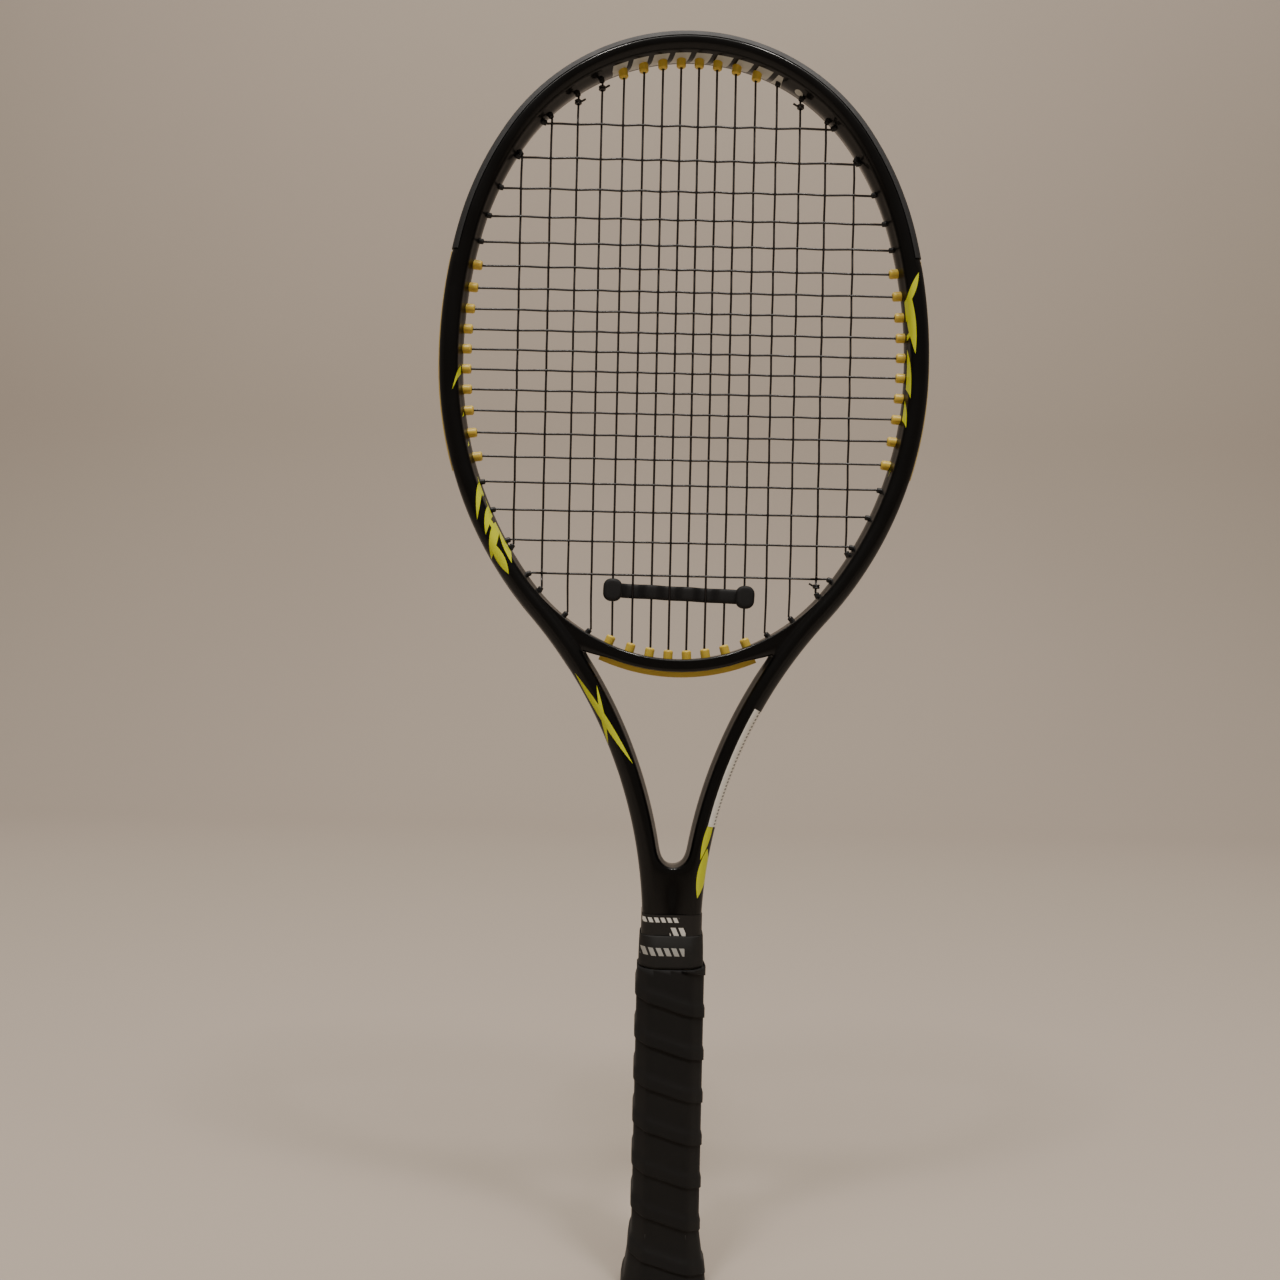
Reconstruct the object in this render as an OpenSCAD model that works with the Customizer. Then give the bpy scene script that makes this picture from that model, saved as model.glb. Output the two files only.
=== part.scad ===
// Tennis racket: a hairpin frame strung 16 x 19, with its grommets, guard, grip and dampener.
// X runs across the head, Y through its depth and Z from the butt up to the tip.
// The hoop is a chain of tangent arcs. A place on it is an angle, 0 at the tip, growing down the
// side to the shoulder where the throat's reverse arc takes over, and a depth from the centre line.

/* [Head] */
// Height of the tube's centre line at the tip
tip_z = 679.5; // [670:0.5:690]
// Radius of the hoop's arc over the tip
tip_r = 114; // [112:1:116]
// Radius of the hoop's side arc
side_r = 276; // [270:1:282]
// Width of the tube across the hoop
tube_w = 12; // [11.6:0.1:12.4]
// Depth of the beam
beam_d = 24; // [23:0.5:26]
// Thickness of the tube's wall
wall = 1.6; // [1.4:0.1:1.8]
// How far the head guard stands over the tube
guard_rise = 0.3; // [0.2:0.1:0.6]
// Height of the guard's two ends
guard_foot = 563; // [561:0.5:565]

/* [Throat] */
// Height of the bridge's inner face at its middle
bridge_z = 343.9; // [342:0.1:346]
// Radius of the bridge's inner face
bridge_r = 98; // [96:1:100]
// Thickness of the bridge
bridge_t = 7; // [6:0.5:8]
// Depth of the bridge
bridge_d = 19; // [17:0.5:21]
// Radius at the bottom of the throat opening
throat_r = 7; // [6:0.5:7.5]
// Half the distance between the two shafts where they meet
stem_x = 10; // [9.8:0.1:10.2]

/* [Strings] */
// Diameter of the string
string_d = 1.25; // [1.1:0.01:1.35]
// Height of the middle cross string
cross_mid_z = 511.7; // [510:0.1:513]
// Step between the middle mains
main_step = 9.82; // [9.7:0.01:9.9]
// Step between the middle crosses
cross_step = 10.9; // [10.8:0.1:11]

/* [Grip] */
// Width of the bare handle
pallet_w = 31.4; // [31:0.1:33]
// Depth of the bare handle
pallet_d = 27.2; // [27:0.1:29]
// Height of the top of the grip
grip_top = 177; // [170:1:177]
// Thickness of the base grip
base_t = 1.7; // [1.4:0.1:2]
// Thickness of the overgrip
over_t = 0.8; // [0.5:0.1:1]
// Height of the rubber collar
collar_h = 15; // [12:1:15]

/* [Dampener] */
// Height of the dampener's middle
damper_z = 379.8; // [378:0.1:381]
// Height of its strap
strap_h = 7.5; // [6:0.5:8]
// Width of its end knobs
knob_w = 10.4; // [9:0.1:10.4]
// Height of its end knobs
knob_h = 12.6; // [10:0.1:12.6]

/* [Butt] */
// Diameter of the trap door
door_d = 21.4; // [20:0.1:21.4]
// Thickness of the butt cap's floor
floor_t = 2.4; // [2.2:0.1:3]

/* [Hidden] */
$fn = 48;
// Steps in a full turn for the long sweeps, and for the round ends of their sections
sweep_fn = 720;
round_fn = 48;

graphite = "#17171a";
charcoal = "#34353a";
yellow = "#d9a514";
gut = "#2b211c";
rubber = "#1b1c1e";

tube_r = tube_w / 2;
flat_y = beam_d / 2 - tube_r;
gap = 0.1;

// The hoop's four tangent arcs, from the tip down
arc_r = [tip_r, 171, side_r, 204];
arc_a = [55.5, 20, 16, 40];
function sum_to(list, n) = n == 0 ? 0 : list[n - 1] + sum_to(list, n - 1);
start_a = [for (i = [0:4]) sum_to(arc_a, i)];
hoop_end = start_a[4];
function out(a) = [sin(a), cos(a)];
function centre(i) = i == 0 ? [0, tip_z - tip_r]
  : centre(i - 1) + (arc_r[i - 1] - arc_r[i]) * out(start_a[i]);
arc_c = [for (i = [0:3]) centre(i)];
shoulder = arc_c[3] + arc_r[3] * out(hoop_end);

// The throat's reverse arc, which brings the tube to the vertical beside the other shaft
throat_arc_r = (shoulder[0] - stem_x) / (1 - cos(hoop_end - 90));
throat_c = shoulder + throat_arc_r * out(hoop_end);
shaft_foot = 190;

// A point at angle a along the tube and depth d from its centre line, outwards positive
function arc_of(a) = a < start_a[1] ? 0 : a < start_a[2] ? 1 : a < start_a[3] ? 2 : 3;
function along(a, d) = a <= hoop_end
  ? arc_c[arc_of(a)] + (arc_r[arc_of(a)] + d) * out(a)
  : throat_c - (throat_arc_r - d) * out(2 * hoop_end - a);
function outward(a) = a <= hoop_end ? a : 2 * hoop_end - a;

// Angles at which a line at a given x or z meets the hoop at depth d
function hits_x(x, d, top) = [for (i = [0:3])
  let (s = (x - arc_c[i][0]) / (arc_r[i] + d), p = abs(s) > 1 ? -1 : top ? asin(s) : 180 - asin(s))
  if (p >= start_a[i] && p <= start_a[i + 1]) p][0];
function hits_z(z, d) = [for (i = [0:3])
  let (c = (z - arc_c[i][1]) / (arc_r[i] + d), p = abs(c) > 1 ? -1 : acos(c))
  if (p >= start_a[i] && p <= start_a[i + 1]) p][0];

// String pattern: mains at m = 0.5 to 7.5 each side, crosses at n = 9 down to -9
string_r = string_d / 2;
function main_x(m) = main_step * m + 0.0421 * pow(m, 3);
function cross_z(n) = cross_mid_z + cross_step * n + (n > 0 ? 0.0367 : 0.033) * pow(n, 3);
layer_y = string_r + 0.02;
lane_y = 1.35;

// Grommet sizes: the bright ones are wide and long, the black ones slim and short
bright_r = 2.6;
bright_out = 4.8;
black_r = 1.5;
black_out = 2.4;
bore_r = 0.95;
groove_y = 3.5;
groove_floor = tube_r - 2.6;
strip_t = 0.8;
rail_y = 2.2;
run_d = groove_floor + strip_t + string_r + 0.475;

function bright_main(m) = m < 4;
function bright_cross(n) = n <= 4 && n >= -5;
bridge_c = [0, bridge_z + bridge_r];

// How far along the bore, from a point leaning at angle a, the tube's surface at depth d is
function reach(p, a, i, d) = let (q = p - arc_c[i], b = q * out(a))
  -b + sqrt(b * b - q * q + pow(arc_r[i] + d, 2));
function reach_throat(p, a, d) = let (q = p - throat_c, b = q * out(a))
  -b - sqrt(b * b - q * q + pow(throat_arc_r - d, 2));
function turn_to(p, i) = let (q = p - arc_c[i]) atan2(q[0], q[1]);
function throat_turn(p) = let (q = throat_c - p) 2 * hoop_end - atan2(q[0], q[1]);

function main_out(m) = bright_main(m) ? bright_out : black_out;
function main_top_hit(m) = hits_x(main_x(m), -tube_r - main_out(m), true);
function main_low_hit(m) = hits_x(main_x(m), -tube_r - black_out, false);
function cross_out(n) = bright_cross(n) ? bright_out : black_out;
function cross_hit(n) = hits_z(cross_z(n), -tube_r - cross_out(n));

// A string end is [mouth, lean, kind, arc]; it leans halfway between the tube's normal and the string
shoulder_lean = [135, 138];
function main_top(m) = let (h = main_top_hit(m))
  [along(h, -tube_r - main_out(m)), h / 2, "hoop", arc_of(h)];
function cross_side(n) = let (h = cross_hit(n))
  [along(h, -tube_r - cross_out(n)), (h + 90) / 2, "hoop", arc_of(h)];
function bridge_mouth(m, d) = let (x = main_x(m)) [x, bridge_c[1] - sqrt(pow(bridge_r - d, 2) - x * x)];
function main_low(m) = m < 4
  ? [bridge_mouth(m, bright_out), 180 - asin(main_x(m) / (bridge_r - bright_out)), "bridge", -1]
  : m < 6
  ? [bridge_mouth(m, black_out), shoulder_lean[m < 5 ? 0 : 1], "throat", -1]
  : let (h = main_low_hit(m)) [along(h, -tube_r - black_out), (h + 180) / 2, "hoop", arc_of(h)];
function run_reach(e, d) = e[2] == "hoop" ? reach(e[0], e[1], e[3], d)
  : e[2] == "throat" ? reach_throat(e[0], e[1], d)
  : bright_out + bridge_t + d - groove_floor;
function end_point(e, t) = e[0] + t * out(e[1]);
function end_turn(e, d) = let (p = end_point(e, run_reach(e, d)))
  e[2] == "hoop" ? turn_to(p, e[3]) : e[2] == "throat" ? throat_turn(p) : 180 - e[1];

guard_end = hits_z(guard_foot, 0);
insert_end = end_turn(main_top(3.5), 0) + 2.2;
side_low_end = hits_z((cross_z(-5) + cross_z(-6)) / 2, 0);
black_low_end = end_turn(main_low(4.5), 0) + 2;

// ---- sections, drawn as depth from the centre line against depth of the beam ----
module pill(r, half) {
  translate([0, half]) circle(r, $fn = round_fn);
  translate([0, -half]) circle(r, $fn = round_fn);
  translate([-r, -half]) square([2 * r, 2 * half]);
}

// The tube's wall, made thinner all round by s for the sleeves inside its joints
module hollow(s) {
  low = -tube_r + wall;
  high = groove_floor - wall;
  difference() {
    children();
    translate([(low + high) / 2, 0]) pill((high - low) / 2 + s, flat_y + 1);
    translate([groove_floor - gap - s, -groove_y - s]) square([10, 2 * (groove_y + s)]);
  }
}

module tube_section(s = 0) { hollow(s) pill(tube_r - s, flat_y); }

seat_x = 2;
module guard_seat_section(s = 0) {
  hollow(s) {
    intersection() {
      pill(tube_r - s, flat_y);
      translate([-20, -20]) square([20 + seat_x - s, 40]);
    }
    pill(tube_r - 1.3 - s, flat_y);
  }
}

module guard_wings_section(s = 0) {
  inner_y = groove_y - 2 * gap + s;
  difference() {
    intersection() {
      pill(tube_r + guard_rise - s, flat_y);
      translate([seat_x + gap + s, -20]) square([20, 40]);
    }
    pill(tube_r - 1.2 + s, flat_y);
    translate([0, -inner_y]) square([20, 2 * inner_y]);
  }
}

module channel_section(rail_top, half = groove_y - gap) {
  difference() {
    translate([groove_floor, -half]) square([rail_top - groove_floor, 2 * half]);
    translate([groove_floor + strip_t, -rail_y]) square([20, 2 * rail_y]);
  }
}

module channel_sleeve() {
  half = groove_y - 3 * gap;
  translate([groove_floor + 2 * gap, -half]) square([strip_t - 4 * gap, 2 * half]);
}

// ---- sweeps of a section along the tube, on the +X side ----
// Neighbouring lengths stop a hair apart and a short sleeve inside their walls joins them
slit = 0.004;
sleeve_l = 3;
module arc_sweep(c, r, from, to) {
  translate([c[0], 0, c[1]]) rotate([90, 0, 0]) rotate([0, 0, 90 - to])
    rotate_extrude(angle = to - from, $fn = sweep_fn) translate([r, 0]) children();
}

module sleeve(a) {
  p = along(a, 0);
  translate([p[0], 0, p[1]]) rotate([0, outward(a) - 90, 0])
    linear_extrude(sleeve_l, center = true) children();
}

// children(0) is the section and children(1) the sleeve's; first says whether from has a sleeve
module hoop_sweep(from, to, first = false) {
  for (i = [0:3]) {
    a = max(from, start_a[i]);
    b = min(to, start_a[i + 1]);
    if (b > a) {
      arc_sweep(arc_c[i], arc_r[i], a + slit, b - slit) children(0);
      if (a > from || first) sleeve(a) children(1);
    }
  }
}

module tip_sweep(to) {
  arc_sweep(arc_c[0], arc_r[0], -to + slit, to - slit) children();
}

module throat_sweep(from, to, first = false) {
  a = outward(to);
  b = outward(from) - slit;
  translate([throat_c[0], 0, throat_c[1]]) rotate([90, 0, 0]) rotate([0, 0, 270 - b])
    rotate_extrude(angle = b - a, $fn = sweep_fn)
      translate([throat_arc_r, 0]) mirror([1, 0]) children(0);
  if (first) sleeve(from) children(1);
}

module both_sides() {
  children();
  mirror([1, 0, 0]) children();
}

module at_end(e) {
  translate([e[0][0], 0, e[0][1]]) rotate([0, e[1], 0]) children();
}

// ---- frame ----
all_throat = 2 * hoop_end - 90;
sleeve_s = 0.4;

module tube_outside() {
  tip_sweep(start_a[1]) guard_seat_section();
  both_sides() {
    hoop_sweep(start_a[1], guard_end, true) {
      guard_seat_section();
      guard_seat_section(sleeve_s);
    }
    hoop_sweep(guard_end, hoop_end, true) {
      tube_section();
      guard_seat_section(sleeve_s);
    }
    throat_sweep(hoop_end, all_throat - slit, true) {
      tube_section();
      tube_section(sleeve_s);
    }
    foot_tube(shaft_foot, throat_c[1] - gap / 20) tube_section();
    foot_tube(throat_c[1] - sleeve_l / 2, throat_c[1] + sleeve_l / 2) tube_section(sleeve_s);
  }
}

module foot_tube(from, to) {
  translate([stem_x, 0, from]) linear_extrude(to - from) children();
}

// The solid web between the shafts follows the inside of both walls up to the throat's bottom
web_top = throat_c[1] + 41;
web_in = 0.8;
module shaft_web() {
  rotate([90, 0, 0]) linear_extrude(beam_d - 2, center = true) {
    narrow = stem_x - tube_r + web_in / 2;
    translate([-narrow, shaft_foot]) square([2 * narrow, throat_c[1] + 5 - shaft_foot]);
    difference() {
      translate([-9, throat_c[1]]) square([18, web_top - throat_c[1]]);
      for (side = [-1, 1]) translate([side * throat_c[0], throat_c[1]])
        circle(throat_arc_r + tube_r - web_in, $fn = sweep_fn);
      translate([0, web_top + 2]) circle(throat_r);
    }
  }
}

stem_r = 5.2;
stem_flat = 5.4;
stem_in = 8.3;
stem_foot = 14;
module stem(r, from, to) {
  translate([stem_in, 0, from]) linear_extrude(to - from) pill(r, stem_flat);
}

module hole(e, r, extra) {
  at_end(e) translate([0, 0, -4]) cylinder(r = r, h = 4 + run_reach(e, tube_r) + extra);
}

module frame_holes() {
  for (m = [0.5:7.5]) {
    hole(main_top(m), (bright_main(m) ? bright_r : black_r) + gap, 3);
    if (m > 4) hole(main_low(m), black_r + gap, 3);
  }
  for (n = [-9:9]) hole(cross_side(n), (bright_cross(n) ? bright_r : black_r) + gap, 3);
}

module frame_tube() {
  color(graphite) difference() {
    union() {
      tube_outside();
      shaft_web();
      both_sides() difference() {
        stem(stem_r, stem_foot, shaft_foot + 2);
        stem(stem_r - wall, stem_foot - 1, shaft_foot + 3);
      }
    }
    both_sides() frame_holes();
  }
}

// The bridge closes the hoop between the shafts and is cut to the tube's outside at both ends
bridge_half = 45;
module bridge_ring(inner, outer, half_depth, half_angle) {
  translate([0, 0, bridge_c[1]]) rotate([90, 0, 0]) rotate([0, 0, 270 - half_angle])
    rotate_extrude(angle = 2 * half_angle, $fn = sweep_fn)
      translate([inner, -half_depth]) square([outer - inner, 2 * half_depth]);
}

module throat_bridge() {
  color(graphite) difference() {
    bridge_ring(bridge_r, bridge_r + bridge_t, bridge_d / 2, bridge_half);
    both_sides() {
      hoop_sweep(start_a[3] + 20, hoop_end + 2 * slit) beside_tube();
      throat_sweep(hoop_end - 2 * slit, hoop_end + 20) beside_tube();
      for (m = [0.5:3.5]) bridge_hole(m);
      hole(main_low(4.5), black_r + gap, 3);
      hole(main_low(5.5), black_r + gap, 3);
    }
  }
}

// Everything from the tube's inner face outwards, which the bridge stops at
module beside_tube() {
  pill(tube_r + 0.02, flat_y);
  translate([0, -20]) square([40, 40]);
}

module bridge_hole(m) {
  at_end(main_low(m)) cylinder(r = bright_r + gap, h = bright_out + bridge_t + 3);
}

// ---- guard and grommets ----
// A barrel round a string end: its domed mouth stands inside the hoop, its root is in the strip
module barrel(e, r, root_d) {
  length = run_reach(e, root_d);
  dome = 0.45 * r;
  at_end(e) rotate_extrude() {
    translate([0, dome]) square([r, length - dome]);
    square([r - dome, length]);
    translate([r - dome, dome]) circle(dome);
  }
}

module string_bore(e) {
  at_end(e) translate([0, 0, -3]) cylinder(r = bore_r, h = 6 + run_reach(e, tube_r));
}

root_d = groove_floor + strip_t / 2;
module barrels(ends, r) {
  difference() {
    union() {
      children();
      for (e = ends) barrel(e, r, root_d);
    }
    for (e = ends) string_bore(e);
  }
}

module head_guard() {
  black_ends = concat([for (m = [4.5:7.5]) main_top(m)], [for (n = [9:-1:5]) cross_side(n)]);
  color(charcoal) {
    tip_sweep(start_a[1]) guard_wings_section();
    both_sides() barrels(black_ends, black_r) {
      hoop_sweep(start_a[1], guard_end - 0.05, true) {
        guard_wings_section();
        guard_wings_section(0.3);
      }
      hoop_sweep(insert_end, guard_end - 0.05) {
        channel_section(tube_r + guard_rise - 0.05);
        channel_sleeve();
      }
    }
  }
}

module tip_grommets() {
  ends = [for (m = [0.5:3.5]) main_top(m)];
  color(yellow) difference() {
    union() {
      tip_sweep(insert_end - 0.1) channel_section(tube_r + guard_rise - 0.1, groove_y - 3 * gap);
      both_sides() for (e = ends) barrel(e, bright_r, root_d);
    }
    both_sides() for (e = ends) string_bore(e);
  }
}

module side_grommets() {
  color(yellow) barrels([for (n = [4:-1:-5]) cross_side(n)], bright_r)
    hoop_sweep(guard_end + 0.05, side_low_end) {
      channel_section(tube_r + 0.8);
      channel_sleeve();
    }
}

module lower_grommets() {
  low = concat([for (m = [4.5:7.5]) main_low(m)], [for (n = [-6:-1:-9]) cross_side(n)]);
  color(graphite) barrels(low, black_r) {
    hoop_sweep(side_low_end + 0.1, hoop_end) {
      channel_section(tube_r + 0.3);
      channel_sleeve();
    }
    throat_sweep(hoop_end, black_low_end, true) {
      channel_section(tube_r + 0.3);
      channel_sleeve();
    }
  }
}

module right_side_grommets() { side_grommets(); }
module left_side_grommets() { mirror([1, 0, 0]) side_grommets(); }
module lower_right_grommets() { lower_grommets(); }
module lower_left_grommets() { mirror([1, 0, 0]) lower_grommets(); }

strip_half = 42;
strip_rise = 2.9;
strip_angle = asin(strip_half / (bridge_r + bridge_t));
module throat_grommets() {
  under = bridge_r + bridge_t + 0.05;
  color(yellow) difference() {
    union() {
      difference() {
        bridge_ring(under, under + strip_rise, groove_y, strip_angle);
        bridge_ring(under + strip_t, under + 3 * strip_rise, rail_y, strip_angle + 5);
      }
      both_sides() for (m = [0.5:3.5]) barrel(main_low(m), bright_r, groove_floor + strip_t / 2);
    }
    both_sides() for (m = [0.5:3.5]) string_bore(main_low(m));
  }
}

// ---- strings ----
function unit(v) = v / norm(v);
function ring_at(p, dir, r, sides) = let (n = unit(cross([0, 1, 0], dir)), b = cross(dir, n))
  [for (k = [0:sides - 1]) p + r * (cos(360 * k / sides) * n + sin(360 * k / sides) * b)];

// A round cord through a list of points
module cord(points, r, sides = 8) {
  last = len(points) - 1;
  dirs = [for (i = [0:last]) unit(points[min(i + 1, last)] - points[max(i - 1, 0)])];
  rings = [for (i = [0:last]) each ring_at(points[i], dirs[i], r, sides)];
  walls = [for (i = [0:last - 1]) for (k = [0:sides - 1]) let (j = (k + 1) % sides)
    each [[i * sides + k, i * sides + j, (i + 1) * sides + j],
          [i * sides + k, (i + 1) * sides + j, (i + 1) * sides + k]]];
  caps = [[for (k = [sides - 1:-1:0]) k], [for (k = [0:sides - 1]) last * sides + k]];
  polyhedron(rings, concat(walls, caps));
}

function place(p, side, y) = [side * p[0], y, p[1]];

// From the bed out through one barrel: a point in the bed, the mouth, and the bend outside
function way_out(e, side, bed, bed_y, lane) = let (t = run_reach(e, run_d))
  [bed, place(end_point(e, -0.5), side, 0), place(end_point(e, t - 0.9), side, 0),
   place(end_point(e, t - 0.1), side, lane / 3)];
function turned(list) = [for (i = [len(list) - 1:-1:0]) list[i]];

// Outside the tube, from one string end to the next
function run_point(a, kind, side, lane) = kind == "bridge"
  ? place(bridge_c + (bridge_r + bridge_t + run_d - groove_floor) * out(180 - a), side, lane)
  : place(along(a, run_d), side, lane);
function outside_run(e1, s1, e2, s2, lane) = let (a1 = s1 * end_turn(e1, run_d),
  a2 = s2 * end_turn(e2, run_d)) [for (t = [0.12, 0.5, 0.88]) let (a = a1 + t * (a2 - a1))
  run_point(abs(a), e1[2], sign(a) == 0 ? 1 : sign(a), lane)];

// How far from its barrel's mouth a string has settled into its own layer
settle = 2;

// Mains: one string, from the left outer main's tip end to the right outer main's tip end
function main_m(k) = k - 7.5;
function main_side(k) = sign(main_m(k));
function main_ways(k) = let (m = abs(main_m(k)), s = main_side(k), x = s * main_x(m),
  top = main_top(m), low = main_low(m),
  up = turned(way_out(top, s, [x, -layer_y, top[0][1] - settle], -layer_y, -lane_y)),
  down = way_out(low, s, [x, -layer_y, low[0][1] + settle], -layer_y, -lane_y))
  k % 2 == 0 ? concat(up, down) : concat(turned(down), turned(up));
function main_end(k) = let (m = abs(main_m(k))) k % 2 == 0 ? main_low(m) : main_top(m);
function main_start(k) = let (m = abs(main_m(k))) k % 2 == 0 ? main_top(m) : main_low(m);
main_path = [for (k = [0:15]) each concat(main_ways(k), k == 15 ? []
  : outside_run(main_end(k), main_side(k), main_start(k + 1), main_side(k + 1), -lane_y))];

// Crosses: one string, from the tip down
function cross_n(j) = 9 - j;
function cross_ways(j) = let (n = cross_n(j), e = cross_side(n), s = j % 2 == 0 ? 1 : -1)
  concat(turned(way_out(e, -s, [-s * (e[0][0] - settle), layer_y, e[0][1]], layer_y, lane_y)),
    way_out(e, s, [s * (e[0][0] - settle), layer_y, e[0][1]], layer_y, lane_y));
cross_path = [for (j = [0:18]) each concat(cross_ways(j), j == 18 ? []
  : let (s = j % 2 == 0 ? 1 : -1)
    outside_run(cross_side(cross_n(j)), s, cross_side(cross_n(j + 1)), s, lane_y))];

module main_strings() { color(gut) cord(main_path, string_r); }
module cross_strings() { color(gut) cord(cross_path, string_r); }

// A knot is two turns and a cut tail round a main, just inside its barrel
knot_off = settle + 1.4;
module knot(e, side, up) {
  x = side * e[0][0];
  z = e[0][1] + up * knot_off;
  translate([x, -layer_y, z]) {
    for (h = [-0.6, 0.6]) translate([0, 0, h])
      rotate_extrude() translate([string_r + 0.72, 0]) circle(0.62);
    translate([-side * 1.3, -0.4, 0]) rotate([0, -side * 60, 0]) cylinder(r = 0.55, h = 3.2);
  }
}

module string_knots() {
  color(gut) {
    knot(main_low(6.5), 1, 1);
    knot(main_top(5.5), -1, -1);
    knot(main_top(5.5), 1, -1);
    knot(main_top(4.5), -1, -1);
  }
}

// ---- dampener: a strap woven through the middle mains with a knob on its end strings ----
strap_t = 2.2;
strap_room = 0.25;
strap_front = -layer_y - string_r - strap_room;
strap_back = -layer_y + string_r + strap_room + strap_t;
strap_flat = 1.9;
knob_t = 5.6;
knob_corner = 3.5;

// The strap's back face passes in front of every second main and behind the ones between
function strap_x(k) = sign(k) * main_x(abs(k));
function strap_y(k) = (k + 2.5) % 2 == 0 ? strap_back : strap_front;
module dampener() {
  low = concat([[-main_x(3.5), strap_front]],
    [for (k = [-2.5:2.5]) for (s = [-1, 1]) [strap_x(k) + s * strap_flat, strap_y(k)]],
    [[main_x(3.5), strap_front]]);
  high = [for (i = [len(low) - 1:-1:0]) low[i] - [0, strap_t]];
  color(rubber) {
    translate([0, 0, damper_z - strap_h / 2]) linear_extrude(strap_h) polygon(concat(low, high));
    both_sides() translate([main_x(3.5), strap_front, damper_z]) knob();
  }
}

// A knob has a rounded outline and stands in front of its string
module knob() {
  rotate([90, 0, 0]) linear_extrude(knob_t) {
    for (x = [-1, 1]) for (z = [-1, 1])
      translate([x * (knob_w / 2 - knob_corner), z * (knob_h / 2 - knob_corner)]) circle(knob_corner);
    square([knob_w, knob_h - 2 * knob_corner], center = true);
    square([knob_w - 2 * knob_corner, knob_h], center = true);
  }
}

// ---- label on the outer front of the right shaft ----
label_ends = [2 * hoop_end - 118, 2 * hoop_end - 103];
label_t = 0.14;
label_turn = 15;
module shaft_label() {
  color("white") throat_sweep(label_ends[0], label_ends[1]) translate([0, flat_y]) difference() {
    intersection() {
      circle(tube_r + 0.02 + label_t, $fn = round_fn);
      rotate(label_turn) square([20, 20]);
      rotate(-label_turn) square([20, 20]);
    }
    circle(tube_r + 0.02, $fn = round_fn);
  }
}

// ---- handle ----
// Eight-sided outline of the handle, grown outwards by o
cut = 5.8;
module octagon(o, c = cut) {
  w = pallet_w / 2 + o;
  d = pallet_d / 2 + o;
  k = c + o * (2 - sqrt(2));
  polygon([[w, -d + k], [w, d - k], [w - k, d], [-w + k, d], [-w, d - k], [-w, -d + k],
    [-w + k, -d], [w - k, -d]]);
}

module octagon_slab(z, o) { translate([0, 0, z]) linear_extrude(0.01) octagon(o); }

// Height and outward growth of the butt cap's flare
flare = [[4, 4.6], [14, 3.0], [25, 1.2], [35, 0.6]];
flare_top = flare[3][0];
grip_grow = base_t + 0.1;
over_grow = grip_grow + 0.05;
module flared(extra) {
  for (i = [0:2]) hull() {
    octagon_slab(flare[i][0], flare[i][1] + extra);
    octagon_slab(flare[i + 1][0] - 0.01, flare[i + 1][1] + extra);
  }
}

pallet_foot = 12;
wire_r = 0.36;
wire_hole_r = 0.5;
slot_r = 0.6;
module handle_pallet() {
  color("#8d8a80") difference() {
    translate([0, 0, pallet_foot]) linear_extrude(shaft_foot - pallet_foot - gap) octagon(0);
    both_sides() stem(stem_r + 0.02, pallet_foot - 1, shaft_foot + 1);
    at_staples() staple_room(staple_w, staple_leg);
  }
}

hinge_y = 11.9;
hinge_z = 1.2;
pin_r = 0.6;
door_r = door_d / 2;
slot_half = 3.6;
rim_h = 4;
rim_grow = 6.8;
module butt_cap() {
  color(rubber) difference() {
    union() {
      linear_extrude(rim_h) octagon(rim_grow);
      flared(0);
    }
    translate([0, 0, pallet_foot - gap]) linear_extrude(40) octagon(0.05);
    translate([0, 0, floor_t]) cylinder(r = 12.4, h = 12);
    translate([0, 0, -1]) cylinder(r = door_r + 0.5, h = 5);
    translate([-slot_half, 8, -1]) cube([2 * slot_half, 5.9, 8]);
    translate([-6.2, hinge_y, hinge_z]) rotate([0, 90, 0]) cylinder(r = pin_r + 0.02, h = 12.4);
    at_staples() staple_room(staple_w, staple_leg);
    at_grip_staple() staple_room(grip_staple_w, grip_staple_leg);
  }
}

module trap_door() {
  color(rubber) difference() {
    union() {
      translate([0, 0, 0.3]) cylinder(r = door_r, h = 1.8);
      translate([-2.4, 8, 0.3]) cube([4.8, hinge_y - 8, 1.8]);
      translate([-2.4, hinge_y, hinge_z]) rotate([0, 90, 0]) cylinder(r = 0.98, h = 4.8);
    }
    translate([-3, hinge_y, hinge_z]) rotate([0, 90, 0]) cylinder(r = pin_r + 0.05, h = 6);
    translate([0, -door_r - 1, -0.4]) cylinder(r = 2.6, h = 1.6);
  }
}

module trap_door_pin() {
  color("silver") translate([-6, hinge_y, hinge_z]) rotate([0, 90, 0]) cylinder(r = pin_r, h = 12);
}

// A staple is a crown and two legs; the legs go through the cap's skirt into the handle
staple_z = 20;
staple_w = 9;
staple_leg = 5;
crown_y = pallet_d / 2 + 1.35;
grip_staple_z = 8;
grip_staple_w = 7;
grip_staple_leg = 3.5;
grip_crown_x = pallet_w / 2 + 5;
module at_staples() {
  for (s = [0, 1]) mirror([0, s, 0]) translate([0, crown_y, staple_z]) children();
}

module at_grip_staple() { rotate([0, 0, -90]) translate([0, grip_crown_x, grip_staple_z]) children(); }

module staple(width, leg) {
  rotate([0, 90, 0]) translate([0, 0, -width / 2]) cylinder(r = wire_r, h = width);
  for (s = [-1, 1]) translate([s * width / 2, 0, 0]) {
    sphere(wire_r);
    rotate([90, 0, 0]) cylinder(r = wire_r, h = leg);
  }
}

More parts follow.
